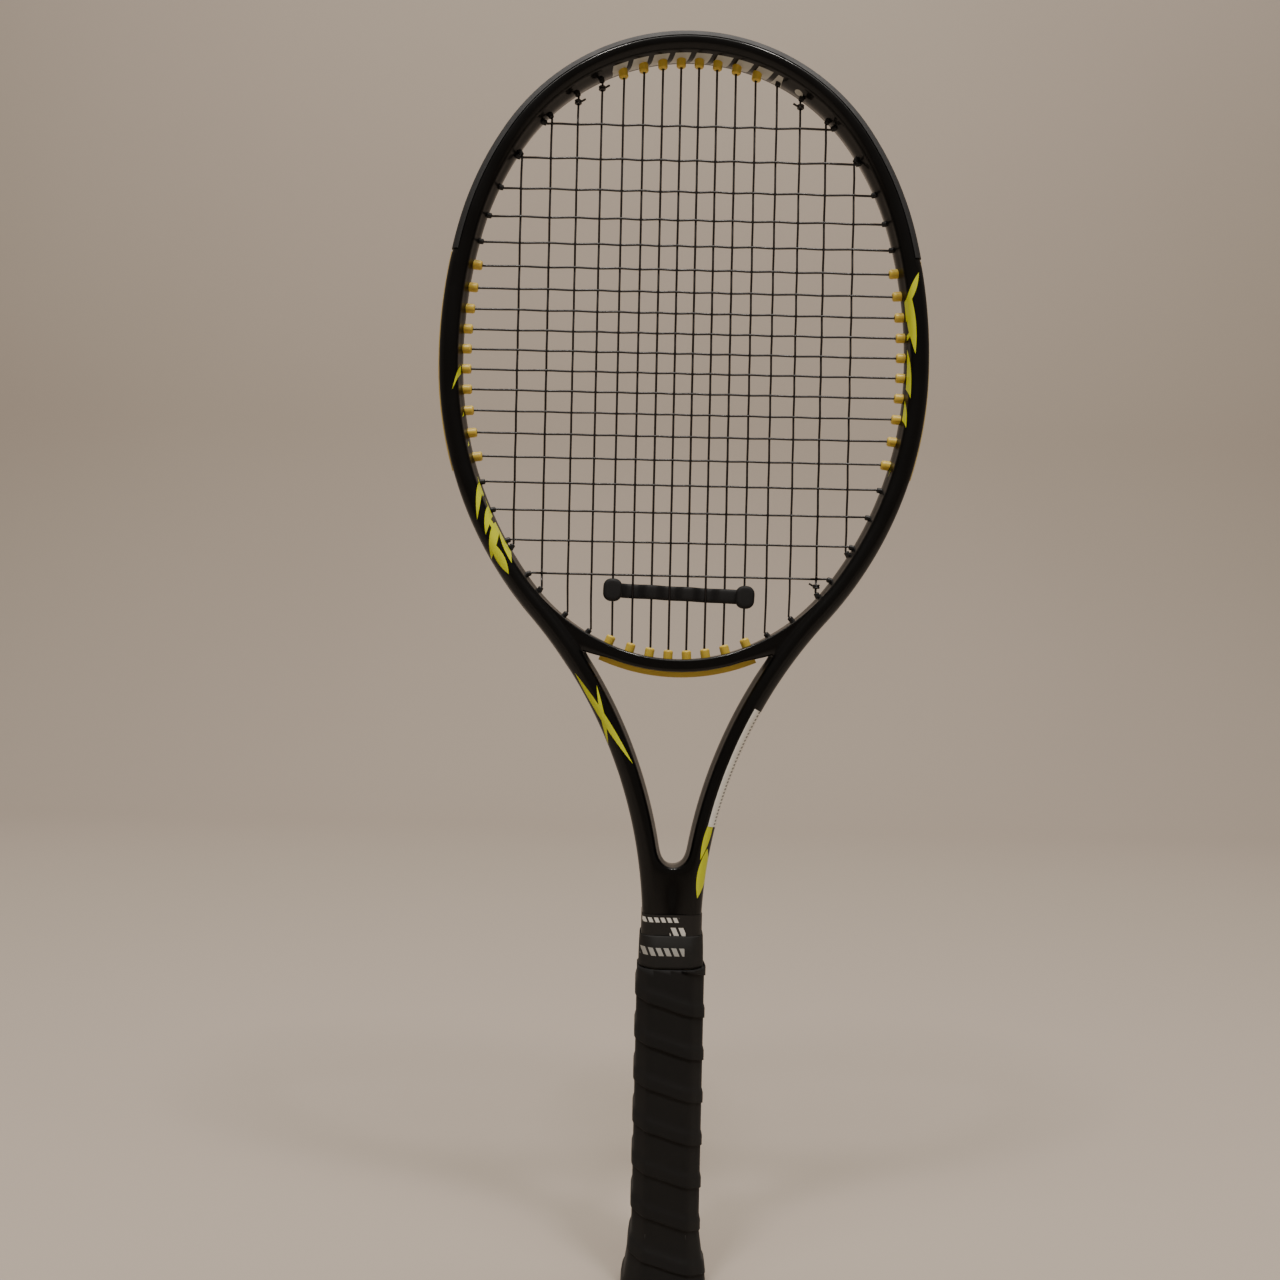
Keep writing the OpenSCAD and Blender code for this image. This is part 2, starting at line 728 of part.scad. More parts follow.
// A staple's room is a slot for its crown, open to the outside, and two leg holes
module staple_room(width, leg) {
  translate([-width / 2 - slot_r, -slot_r, -slot_r]) cube([width + 2 * slot_r, 3 * slot_r, 2 * slot_r]);
  for (s = [-1, 1]) translate([s * width / 2, 0, 0])
    rotate([90, 0, 0]) cylinder(r = wire_hole_r, h = leg + 0.2);
}

module cap_staples() { color("silver") at_staples() staple(staple_w, staple_leg); }
module grip_staple() { color("silver") at_grip_staple() staple(grip_staple_w, grip_staple_leg); }

module base_grip() {
  color("#3a3b3d") difference() {
    union() {
      flared(base_t);
      translate([0, 0, flare_top - 0.01]) linear_extrude(grip_top - flare_top + 0.01) octagon(grip_grow);
    }
    flared(0.05);
    translate([0, 0, flare_top - 1]) linear_extrude(grip_top) octagon(0.1);
    at_grip_staple() staple_room(grip_staple_w, grip_staple_leg);
  }
}

module overgrip() {
  color("#2a2b2d") difference() {
    union() {
      flared(base_t + 0.05 + over_t);
      translate([0, 0, flare_top - 0.1]) linear_extrude(grip_top - flare_top + 0.1) octagon(over_grow + over_t);
    }
    flared(base_t + 0.05);
    translate([0, 0, flare_top - 0.5]) linear_extrude(grip_top) octagon(over_grow);
  }
}

// Tape over the top of the handle and round the two shafts
tape_top = 206;
module shaft_outline(extra) {
  for (s = [-1, 1]) translate([s * stem_x, 0]) pill(tube_r + extra, flat_y);
  translate([-stem_x, -beam_d / 2 - extra]) square([2 * stem_x, beam_d + 2 * extra]);
}

module finishing_tape() {
  color("#202124") {
    translate([0, 0, shaft_foot]) linear_extrude(tape_top - shaft_foot) difference() {
      shaft_outline(0.55);
      shaft_outline(0.25);
    }
    translate([0, 0, grip_top + 0.4]) linear_extrude(shaft_foot - grip_top - 0.4) difference() {
      octagon(0.45);
      octagon(0.05);
    }
  }
}

collar_z = grip_top + 0.5;
module rubber_collar() {
  color(charcoal) translate([0, 0, collar_z]) linear_extrude(collar_h) difference() {
    octagon(1.9, 5.2);
    octagon(1.05, 5.0);
  }
}

frame_tube();
throat_bridge();
head_guard();
tip_grommets();
left_side_grommets();
right_side_grommets();
lower_left_grommets();
lower_right_grommets();
throat_grommets();
main_strings();
cross_strings();
string_knots();
dampener();
shaft_label();
handle_pallet();
butt_cap();
trap_door();
trap_door_pin();
cap_staples();
base_grip();
grip_staple();
overgrip();
finishing_tape();
rubber_collar();
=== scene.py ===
"""Tennis racket: the looks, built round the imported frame.

X runs across the head, Y through its depth (the front faces -Y) and Z up from the butt to the tip.
Shapes are worked out in millimetres and scaled to metres once, when a piece is made.
"""
import math

import bmesh
import bpy
from mathutils import Matrix, Vector


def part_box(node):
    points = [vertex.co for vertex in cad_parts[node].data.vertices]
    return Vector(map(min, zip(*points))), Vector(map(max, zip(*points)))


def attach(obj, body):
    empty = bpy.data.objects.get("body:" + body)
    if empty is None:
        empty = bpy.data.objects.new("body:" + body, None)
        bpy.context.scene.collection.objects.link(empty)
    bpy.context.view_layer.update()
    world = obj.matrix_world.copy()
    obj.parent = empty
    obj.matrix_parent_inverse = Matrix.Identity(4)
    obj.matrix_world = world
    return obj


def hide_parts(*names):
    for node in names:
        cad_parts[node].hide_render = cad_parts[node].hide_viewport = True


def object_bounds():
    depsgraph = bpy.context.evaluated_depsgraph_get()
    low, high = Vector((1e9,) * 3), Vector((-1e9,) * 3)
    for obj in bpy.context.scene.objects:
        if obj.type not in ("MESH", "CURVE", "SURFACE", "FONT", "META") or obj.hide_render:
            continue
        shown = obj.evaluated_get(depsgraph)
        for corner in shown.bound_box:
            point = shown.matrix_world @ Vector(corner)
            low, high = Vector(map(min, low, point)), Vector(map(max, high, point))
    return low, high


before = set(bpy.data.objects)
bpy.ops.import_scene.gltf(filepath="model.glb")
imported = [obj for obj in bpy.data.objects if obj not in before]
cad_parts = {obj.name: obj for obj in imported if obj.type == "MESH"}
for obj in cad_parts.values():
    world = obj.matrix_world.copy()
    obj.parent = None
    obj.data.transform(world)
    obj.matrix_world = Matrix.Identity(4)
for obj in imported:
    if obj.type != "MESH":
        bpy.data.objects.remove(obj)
cad_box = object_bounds()
MM = 0.001


# ---------------------------------------------------------------- the racket's driving dimensions
def box_mm(name):
    """A CAD node's lowest and highest corners, in millimetres."""
    low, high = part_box(name)
    return low / MM, high / MM


TUBE_R = 6
TUBE_FLAT = 6
GUARD_RISE = 0.3
SEAT_DEPTH = 1.3
GROOVE_HALF = 3.5
GROOVE_FLOOR = 3.4
STEM_X = 10
ARCS = ((114, 55.5), (171, 20), (276, 16), (204, 40))
ARC_STEPS = (15, 8, 10, 18)
THROAT_STEPS = 24
TIP_Z = box_mm("head_guard")[1].z - TUBE_R - GUARD_RISE
BRIDGE_R = 98
BRIDGE_T = 7
BRIDGE_C = Vector((0, 0, box_mm("throat_bridge")[0].z + BRIDGE_R + BRIDGE_T))
STRING_R = 0.625


def out(angle):
    """Unit vector in the plane of the hoop, at an angle in degrees from the tip."""
    turn = math.radians(angle)
    return Vector((math.sin(turn), 0, math.cos(turn)))


def chain_of_arcs():
    """Where each tangent arc of the hoop starts, in degrees, and its centre."""
    starts = [0]
    centres = [Vector((0, 0, TIP_Z - ARCS[0][0]))]
    for (radius, sweep), (next_radius, _) in zip(ARCS, ARCS[1:]):
        starts.append(starts[-1] + sweep)
        centres.append(centres[-1] + (radius - next_radius) * out(starts[-1]))
    return starts, centres


ARC_STARTS, ARC_CENTRES = chain_of_arcs()
HOOP_END = ARC_STARTS[-1] + ARCS[-1][1]
SHOULDER = ARC_CENTRES[-1] + ARCS[-1][0] * out(HOOP_END)
THROAT_R = (SHOULDER.x - STEM_X) / (1 - math.cos(math.radians(HOOP_END - 90)))
THROAT_C = SHOULDER + THROAT_R * out(HOOP_END)
FOOT_TURN = 2 * HOOP_END - 90


def along(angle, depth):
    """A point of the tube at an angle down from the tip and a depth outwards from its centre line."""
    if angle > HOOP_END:
        return THROAT_C - (THROAT_R - depth) * out(2 * HOOP_END - angle)
    i = max(k for k, start in enumerate(ARC_STARTS) if start <= max(angle, 0))
    return ARC_CENTRES[i] + (ARCS[i][0] + depth) * out(angle)


def angle_at(z):
    """The angle at which the centre line comes down to a height."""
    low, high = 0, FOOT_TURN
    for _ in range(40):
        middle = (low + high) / 2
        if along(middle, 0).z > z:
            low = middle
        else:
            high = middle
    return low


GUARD_END = angle_at(box_mm("head_guard")[0].z)
GROOVE_END = angle_at(box_mm("lower_right_grommets")[0].z)


# ---------------------------------------------------------------- mesh helpers
def piece_of(name, mesh, body, material, replaces=()):
    """An object at the origin that rides on a body, takes a slot's finish and may stand for nodes."""
    piece = bpy.data.objects.new(name, mesh)
    bpy.context.scene.collection.objects.link(piece)
    mesh.materials.append(material)
    for face in mesh.polygons:
        face.use_smooth = True
    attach(piece, body)
    if replaces:
        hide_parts(*replaces)
    return piece


def mesh_of(name, bm):
    """Scales a finished bmesh to metres and keeps it as a mesh."""
    bmesh.ops.recalc_face_normals(bm, faces=bm.faces)
    bm.transform(Matrix.Scale(MM, 4))
    mesh = bpy.data.meshes.new(name)
    bm.to_mesh(mesh)
    bm.free()
    return mesh


def subdivide(piece, levels):
    """Catmull-Clark smoothing, the same in the view and the render."""
    smoothing = piece.modifiers.new("smooth", "SUBSURF")
    smoothing.levels = levels
    smoothing.render_levels = levels


def extrude_to(bm, verts, points, closed=True):
    """Extrudes a row of vertices and moves the new ones to points; returns the new row."""
    pairs = list(zip(verts, verts[1:] + verts[:1] if closed else verts[1:]))
    edges = [bm.edges.get(pair) or bm.edges.new(pair) for pair in pairs]
    made = set(bmesh.ops.extrude_edge_only(bm, edges=edges)["geom"])
    row = [next(e.other_vert(v) for e in v.link_edges if e.other_vert(v) in made) for v in verts]
    for vert, point in zip(row, points):
        vert.co = point
    return row


def loft(bm, stations, closed=True):
    """Extrudes the first row of points through all the others and returns the rows."""
    rows = [[bm.verts.new(point) for point in stations[0]]]
    for points in stations[1:]:
        rows.append(extrude_to(bm, rows[-1], points, closed))
    return rows


def cap(bm, row):
    """Closes a ring with one face."""
    bm.faces.new(row)


def linspace(first, last, steps):
    """Evenly spaced values, both ends included."""
    return [first + (last - first) * i / steps for i in range(steps + 1)]


def smooth(t):
    """Eases from 0 to 1."""
    t = min(max(t, 0), 1)
    return t * t * (3 - 2 * t)


# ---------------------------------------------------------------- materials
def colour(code):
    """sRGB hex to the linear colour that a shader takes."""
    parts = [int(code[i:i + 2], 16) / 255 for i in (1, 3, 5)]
    return [c / 12.92 if c <= 0.04045 else ((c + 0.055) / 1.055) ** 2.4 for c in parts] + [1]


def add(tree, kind, inputs, output=0, **settings):
    """Adds a node with its settings and links; gives back one of its outputs."""
    made = tree.nodes.new("ShaderNode" + kind)
    for name, value in settings.items():
        setattr(made, name, value)
    for key, value in inputs.items():
        if isinstance(value, bpy.types.NodeSocket):
            tree.links.new(value, made.inputs[key])
        else:
            made.inputs[key].default_value = value
    return made.outputs[output]


def per(size):
    """A texture's scale for features of a size in millimetres."""
    return 1 / (size * MM)


class Finish:
    """A material whose base tone drifts between two colours, with a fine grain in its surface."""

    def __init__(self, name, base, worn, roughness, drift, grain, depth, **sockets):
        self.material = bpy.data.materials.new(name)
        self.material.use_nodes = True
        self.tree = tree = self.material.node_tree
        self.place = add(tree, "TexCoord", {}, "Object")
        cloud = add(tree, "TexNoise", {"Vector": self.place, "Scale": per(drift), "Detail": 4.0})
        fine = add(tree, "TexNoise", {"Vector": self.place, "Scale": per(grain), "Detail": 2.0})
        self.tone = add(tree, "Mix", {0: cloud, 6: colour(base), 7: colour(worn)}, 2, data_type="RGBA")
        self.rough = add(tree, "MapRange", {"Value": cloud, "From Min": 0.3, "From Max": 0.7,
                                            "To Min": roughness - 0.05, "To Max": roughness + 0.08})
        self.bump = add(tree, "Bump", {"Height": fine, "Distance": depth * MM, "Strength": 0.8})
        for socket, value in sockets.items():
            self.shader.inputs[socket.replace("_", " ")].default_value = value

    @property
    def shader(self):
        return self.tree.nodes["Principled BSDF"]

    def paint(self, mask, code, roughness):
        """Lays a colour over the tone where the mask is 1."""
        tree = self.tree
        self.tone = add(tree, "Mix", {0: mask, 6: self.tone, 7: colour(code)}, 2, data_type="RGBA")
        self.rough = add(tree, "Mix", {0: mask, 2: self.rough, 3: roughness})

    def done(self):
        """Links the tone, the roughness and the bump, and gives back the material."""
        for socket, value in (("Base Color", self.tone), ("Roughness", self.rough), ("Normal", self.bump)):
            self.tree.links.new(value, self.shader.inputs[socket])
        return self.material


def stroke(finish, start, end, width):
    """A mask, 1 inside a brush stroke that tapers to both ends; places are (x, z) in millimetres."""
    tree = finish.tree
    run = Vector((end[0] - start[0], 0, end[1] - start[1])) * MM
    across = Vector((run.z, 0, -run.x)).normalized()
    origin = Vector((start[0], 0, start[1])) * MM
    offset = add(tree, "VectorMath", {0: finish.place, 1: origin}, operation="SUBTRACT")
    share = add(tree, "VectorMath", {0: offset, 1: run * 2 / run.length_squared}, "Value",
                operation="DOT_PRODUCT")
    centred = add(tree, "Math", {0: share, 1: 1.0}, operation="SUBTRACT")
    square = add(tree, "Math", {0: centred, 1: centred}, operation="MULTIPLY")
    half = add(tree, "Math", {0: square, 1: -width * MM / 2, 2: width * MM / 2}, operation="MULTIPLY_ADD")
    aside = add(tree, "VectorMath", {0: offset, 1: across}, "Value", operation="DOT_PRODUCT")
    away = add(tree, "Math", {0: aside}, operation="ABSOLUTE")
    return add(tree, "Math", {0: away, 1: half}, operation="LESS_THAN")


def combine(finish, masks, operation):
    """Joins masks: MAXIMUM where any is 1, MULTIPLY where all are."""
    total = masks[0]
    for mask in masks[1:]:
        total = add(finish.tree, "Math", {0: total, 1: mask}, operation=operation)
    return total


def within(finish, value, middle, half):
    """A mask, 1 where a value is no further than half from the middle."""
    return add(finish.tree, "Math", {0: value, 1: middle, 2: half}, operation="COMPARE")


# Strokes of bright paint on the hoop and shafts: start, end, width
RIGHT_STROKES = (
    ((125.6, 556), (119.5, 537), 3.2),
    ((121.5, 546), (118.8, 526), 3.6),
    ((121, 546), (124.8, 512), 3.4),
    ((123.2, 526), (119.2, 517), 1.4),
    ((119.4, 526), (122.8, 488), 3.2),
    ((122.4, 505), (118.6, 494), 1.3),
    ((118.6, 502), (120.8, 472), 2.6),
    ((118.8, 478), (113.6, 452), 2.4),
    ((115.4, 461), (109.6, 439), 2.8),
    ((108.4, 437), (101.6, 419), 1.9),
)
LEFT_STROKES = (
    ((-117.8, 513), (-125, 487), 1.4),
    ((-117, 489), (-119.8, 473), 1.2),
    ((-115.6, 478), (-116.4, 457), 1.4),
    ((-113.4, 456), (-107.6, 430), 2.2),
    ((-109, 446), (-110, 417), 2.6),
    ((-108.4, 436), (-102.8, 421), 1.6),
    ((-103.2, 431), (-105.2, 409), 3.4),
    ((-105, 420), (-99.6, 410), 2),
    ((-99.4, 420), (-102.2, 396), 4.6),
    ((-99.8, 418), (-90.8, 394), 3.2),
    ((-102.6, 406), (-92.2, 388), 4.8),
)
SHAFT_STROKES = (
    ((-55.5, 335.5), (-23, 287), 3.4),
    ((-43.5, 329), (-36.6, 297), 2.2),
    ((21.6, 261), (14.6, 236), 3.6),
    ((18.4, 242), (13.4, 215), 5.4),
)
# Small pale marks on the outside of the left shaft
SHAFT_MARKS = (
    ((-31.8, 284), (-28.6, 272), 1.2),
    ((-27.8, 268), (-25.4, 256), 1),
)
# Strokes stay this far from the middle of the tube's depth
STROKE_DEPTH = 4.5
LIME = "#cfd62a"
PALE = "#d9d8d2"


def frame_paint():
    """Black paint under clear coat on a carbon moulding: deep, glossy, with sharp highlights."""
    finish = Finish("clear-coated black paint on carbon fibre", "#020202", "#050506", 0.35, 30, 1.2,
                    0.012, Coat_Weight=0.45, Coat_Roughness=0.06, Specular_IOR_Level=0.1)
    strokes = RIGHT_STROKES + LEFT_STROKES + SHAFT_STROKES
    brushed = combine(finish, [stroke(finish, *item) for item in strokes], "MAXIMUM")
    depth = add(finish.tree, "SeparateXYZ", {0: finish.place}, "Y")
    off_middle = add(finish.tree, "Math", {0: depth}, operation="ABSOLUTE")
    on_faces = add(finish.tree, "Math", {0: off_middle, 1: STROKE_DEPTH * MM}, operation="GREATER_THAN")
    finish.paint(combine(finish, (brushed, on_faces), "MULTIPLY"), LIME, 0.35)
    finish.paint(combine(finish, [stroke(finish, *item) for item in SHAFT_MARKS], "MAXIMUM"), PALE, 0.4)
    finish.paint(tip_blocks(finish), "#b4b4ac", 0.4)
    return finish.done()


BLOCK_PITCH = 6.1
BLOCK_SHARE = 0.37
BLOCK_SLANT = 2.6
BLOCKS_TURN = (2.3, 25.5)
BLOCK_HALF = 6.6
DOT_TURN = 33.6
DOT_R = 2.6
DOT_FORWARD = 2
# How far above the inner face a mark may reach round the tube
INNER_BAND = 0.8


def tip_blocks(finish):
    """Slanted pale blocks and one dot on the tube's inner face at the tip."""
    tree = finish.tree
    parts = [add(tree, "SeparateXYZ", {0: finish.place}, axis) for axis in "XYZ"]
    rise = add(tree, "Math", {0: parts[2], 1: ARC_CENTRES[0].z * MM}, operation="SUBTRACT")
    turn = add(tree, "Math", {0: parts[0], 1: rise}, operation="ARCTAN2")
    slanted = add(tree, "Math", {0: parts[1], 1: BLOCK_SLANT, 2: turn}, operation="MULTIPLY_ADD")
    turned = add(tree, "Math", {0: slanted, 1: math.radians(BLOCK_PITCH)}, operation="DIVIDE")
    cell = add(tree, "Math", {0: turned}, operation="FRACT")
    blocks = combine(finish, (within(finish, cell, 0.5, BLOCK_SHARE),
                              within(finish, parts[1], 0.0, BLOCK_HALF * MM),
                              within(finish, turn, *[math.radians(a) for a in BLOCKS_TURN])), "MULTIPLY")
    middle = (along(DOT_TURN, -TUBE_R) + Vector((0, -DOT_FORWARD, 0))) * MM
    to_dot = add(tree, "VectorMath", {0: finish.place, 1: middle}, "Value", operation="DISTANCE")
    dot = add(tree, "Math", {0: to_dot, 1: DOT_R * MM}, operation="LESS_THAN")
    flat_place = add(tree, "CombineXYZ", {0: parts[0], 1: rise})
    radius = add(tree, "VectorMath", {0: flat_place}, "Value", operation="LENGTH")
    limit = (ARCS[0][0] - TUBE_R + INNER_BAND) * MM
    inner = add(tree, "Math", {0: radius, 1: limit}, operation="LESS_THAN")
    marks = combine(finish, (blocks, dot), "MAXIMUM")
    return combine(finish, (marks, inner), "MULTIPLY")


DASH_SLANT = 0.45
DASH_HALF = 0.32


def printed(finish, rows, code):
    """Generic slanted dashes on the front: each row is middle z, half height, first x, last x, step."""
    tree = finish.tree
    parts = [add(tree, "SeparateXYZ", {0: finish.place}, axis) for axis in "XYZ"]
    masks = []
    for middle, half, first, last, step in rows:
        slanted = add(tree, "Math", {0: parts[2], 1: DASH_SLANT, 2: parts[0]}, operation="MULTIPLY_ADD")
        counted = add(tree, "Math", {0: slanted, 1: step * MM}, operation="DIVIDE")
        cell = add(tree, "Math", {0: counted}, operation="FRACT")
        masks.append(combine(finish, (within(finish, cell, 0.5, DASH_HALF),
                                      within(finish, parts[2], middle * MM, half * MM),
                                      within(finish, parts[0], (first + last) / 2 * MM,
                                             (last - first) / 2 * MM)), "MULTIPLY"))
    front = add(tree, "Math", {0: parts[1], 1: 0.0}, operation="LESS_THAN")
    finish.paint(combine(finish, (combine(finish, masks, "MAXIMUM"), front), "MULTIPLY"), code, 0.5)


# Satin and slightly grey, with the fine spark-eroded grain of its mould
guard_nylon = Finish("polyamide, moulded, charcoal", "#0e0e0f", "#171719", 0.6, 14, 0.5, 0.03,
                     IOR=1.53).done()
# A warm waxy yellow that light goes a little way into
bright_nylon = Finish("polyamide, moulded, golden yellow", "#d8bb45", "#c8aa3a", 0.38, 9, 0.4, 0.01,
                      IOR=1.53, Subsurface_Weight=0.08, Subsurface_Scale=0.002).done()
# The same plastic in black, a little shinier where the strings bear on it
black_nylon = Finish("polyamide, moulded, black", "#060606", "#0d0d0e", 0.45, 9, 0.4, 0.015,
                     IOR=1.53).done()
# Dark, smooth and a little shiny, dustier where the strings rub
string_coat = Finish("polyester string, coated", "#0d0807", "#18100e", 0.34, 6, 0.3, 0.006,
                     IOR=1.57).done()
# Soft, matt and slightly dusty, with wide weak highlights
damper_rubber = Finish("silicone rubber, moulded", "#040406", "#0a0a0d", 0.66, 5, 0.25, 0.02,
                       IOR=1.43).done()
# Chalky buff with an open, pitted grain
foam = Finish("polyurethane foam, rigid, moulded", "#8d887a", "#7b7668", 0.85, 10, 0.8, 0.15,
              IOR=1.45).done()
# Black with a soft sheen from its textured mould
cap_plastic = Finish("ABS, moulded, black", "#101011", "#1a1a1b", 0.48, 12, 0.5, 0.03, IOR=1.54).done()
# Bright bare metal, a little brushed along by the drawing
steel_wire = Finish("steel wire, drawn", "#b9b9b6", "#8f8f8c", 0.3, 2, 0.2, 0.004, Metallic=1.0).done()
# Dull black with small embossed bumps
leather = Finish("synthetic leather, embossed", "#1a1a1b", "#252526", 0.6, 12, 0.7, 0.06, IOR=1.5).done()
# Tacky film over felt: black and matt, greyer where the hand has polished it
film = Finish("polyurethane overgrip, wound", "#030303", "#0a0909", 0.72, 26, 0.55, 0.05, IOR=1.4,
              Sheen_Weight=0.03, Sheen_Roughness=0.5).done()


def tape_film():
    """Stretched vinyl tape: satin black with pale printed dashes."""
    finish = Finish("PVC tape, printed", "#040404", "#090908", 0.5, 18, 1.5, 0.02, IOR=1.53)
    printed(finish, ((203.2, 1.3, -16, 4, 3.4), (197, 2.2, -1, 7.5, 4.2)), PALE)
    return finish.done()


def collar_rubber():
    """Soft rubber sleeve: dark grey, matt, with a worn grey print."""
    finish = Finish("rubber, moulded, charcoal", "#050505", "#0c0c0b", 0.68, 16, 0.6, 0.04, IOR=1.5)
    printed(finish, ((186.6, 2.1, -17, 7, 4.2),), "#a5a5a0")
    return finish.done()


def label_paper():
    """Coated paper: white, satin, with grey bars in place of print."""
    finish = Finish("paper, coated", "#f2f1ea", "#e6e4dc", 0.5, 8, 0.4, 0.01, IOR=1.5)
    tree = finish.tree
    depth = add(tree, "SeparateXYZ", {0: finish.place}, "Y")
    height = add(tree, "SeparateXYZ", {0: finish.place}, "Z")
    counted = add(tree, "Math", {0: height, 1: 1.9 * MM}, operation="DIVIDE")
    cell = add(tree, "Math", {0: counted}, operation="FRACT")
    bars = combine(finish, (within(finish, cell, 0.3, 0.28), within(finish, depth, -9.5 * MM, 0.7 * MM)),
                   "MULTIPLY")
    finish.paint(bars, "#8a8a86", 0.5)
    return finish.done()


paint = frame_paint()
tape = tape_film()
rubber = collar_rubber()
paper = label_paper()


# ---------------------------------------------------------------- the frame moulding
# A section's columns, as angles round its rounded edge from the outside inwards
SECTION_TURNS = (30, 60, 69, 72, 90, 120, 150, 180)
SEAT_TURN = 69
SECTION_COUNT = 24
INNER_CROWN = 0.8
COLUMN_120, COLUMN_150, COLUMN_MIDDLE = 9, 10, 12
CORNERS = (1, 2, SECTION_COUNT - 2, SECTION_COUNT - 1)


def limit_fit(points, fixed):
    """Moves a closed ring's points so that the smoothed surface passes through the old ones."""
    cage = [Vector(point) for point in points]
    for _ in range(6):
        last = list(cage)
        for i, point in enumerate(points):
            if i not in fixed:
                limit = (last[i - 1] + 4 * last[i] + last[(i + 1) % len(last)]) / 6
                cage[i] = last[i] + Vector(point) - limit
    return cage


def section(seat, groove):
    """The tube's outline: (depth from the centre line, depth of the beam), outside first."""
    lip = TUBE_R - seat
    floor = GROOVE_FLOOR if groove else lip
    wall = GROOVE_HALF - (0.1 if groove else 1)
    half = [(floor, wall), (lip, GROOVE_HALF), (lip, TUBE_FLAT)]
    for turn in SECTION_TURNS:
        radius = TUBE_R - seat if turn <= SEAT_TURN else TUBE_R
        angle = math.radians(turn)
        inward = INNER_CROWN * max(-math.cos(angle), 0)
        half.append((radius * math.cos(angle) + inward, TUBE_FLAT + radius * math.sin(angle)))
    mirrored = [(depth, -beam) for depth, beam in reversed(half)]
    ring = [(floor, 0)] + half + [(-TUBE_R - 0.3, 0)] + mirrored
    return limit_fit(ring, CORNERS if groove else ())


def place_section(angle, outline):
    """The section's points at an angle down the tube."""
    return [along(angle, depth) + Vector((0, beam, 0)) for depth, beam in outline]


def tube_stations():
    """Angles down the tube, closer together where the guard and the groove end."""
    ends = list(ARC_STARTS) + [HOOP_END, FOOT_TURN]
    angles = []
    for first, last, steps in zip(ends, ends[1:], ARC_STEPS + (THROAT_STEPS,)):
        angles += linspace(first, last, steps)[:-1]
    angles.append(FOOT_TURN)
    for edge in (GUARD_END, GROOVE_END):
        angles = [a for a in angles if abs(a - edge) > 1.1]
        angles += [edge - 0.03, edge + (0.15 if edge == GUARD_END else 1.2)]
    return sorted(angles)


def nearest(angles, wanted):
    """Which station lies closest to an angle."""
    return min(range(len(angles)), key=lambda i: abs(angles[i] - wanted))


def remove_inner(bm, rows, first, last, column):
    """Opens the inner side of the tube between two stations and two mirrored columns."""
    faces = []
    for s in range(first, last):
        for k in range(column, SECTION_COUNT - column):
            corners = (rows[s][k], rows[s][k + 1], rows[s + 1][k + 1], rows[s + 1][k])
            faces.append(bm.faces.get(corners))
    bmesh.ops.delete(bm, geom=faces, context="FACES")


def hole_loop(rows, first, last, column):
    """The opening's rim: across the top, down the front, across the bottom, up the back."""
    far = SECTION_COUNT - column
    across = range(column, far + 1)
    return ([rows[first][k] for k in across]
            + [rows[s][far] for s in range(first + 1, last)]
            + [rows[last][k] for k in reversed(across)]
            + [rows[s][column] for s in range(last - 1, first, -1)])


BRIDGE_HALF = 9.5
BRIDGE_TURN = 21


def bridge_outline(steps):
    """The bridge's section as (radius, beam depth), matched to the opening's rim."""
    across = (9, 5.5, 0, -5.5, -9)
    side = linspace(BRIDGE_R, BRIDGE_R + BRIDGE_T, steps)[1:-1]
    return ([(BRIDGE_R, beam) for beam in across]
            + [(radius, -BRIDGE_HALF) for radius in side]
            + [(BRIDGE_R + BRIDGE_T, beam) for beam in reversed(across)]
            + [(radius, BRIDGE_HALF) for radius in reversed(side)])


def round_bridge(turn, radius, beam):
    """A point of the bridge, at an angle out from its middle."""
    return BRIDGE_C + radius * out(180 - turn) + Vector((0, beam, 0))


def add_bridge(bm, rows, first, last):
    """Half of the bridge, from the middle out to the opening in the shaft, flaring as it meets it."""
    remove_inner(bm, rows, first, last, COLUMN_150)
    rim = hole_loop(rows, first, last, COLUMN_150)
    outline = bridge_outline(last - first)
    stations = [[round_bridge(turn, radius, beam) for radius, beam in outline]
                for turn in linspace(0, BRIDGE_TURN, 5)]
    row = loft(bm, stations)[-1]
    goals = []
    for vert in rim:
        from_centre = vert.co - BRIDGE_C
        turn = math.degrees(math.atan2(from_centre.x, -from_centre.z))
        goals.append((turn, math.hypot(from_centre.x, from_centre.z), vert.co.y))
    for share in (0.3, 0.6, 0.85, 1):
        points = []
        for (radius, beam), (turn, far_radius, far_beam) in zip(outline, goals):
            points.append(round_bridge(BRIDGE_TURN + (turn - BRIDGE_TURN) * share,
                                       radius + (far_radius - radius) * share,
                                       beam + (far_beam - beam) * share))
        row = extrude_to(bm, row, points)
    bmesh.ops.remove_doubles(bm, verts=bm.verts, dist=0.01)


WEB_HALF_TOP = 8.6
WEB_HALF_FOOT = 11.2
CROTCH_Z = 230.6


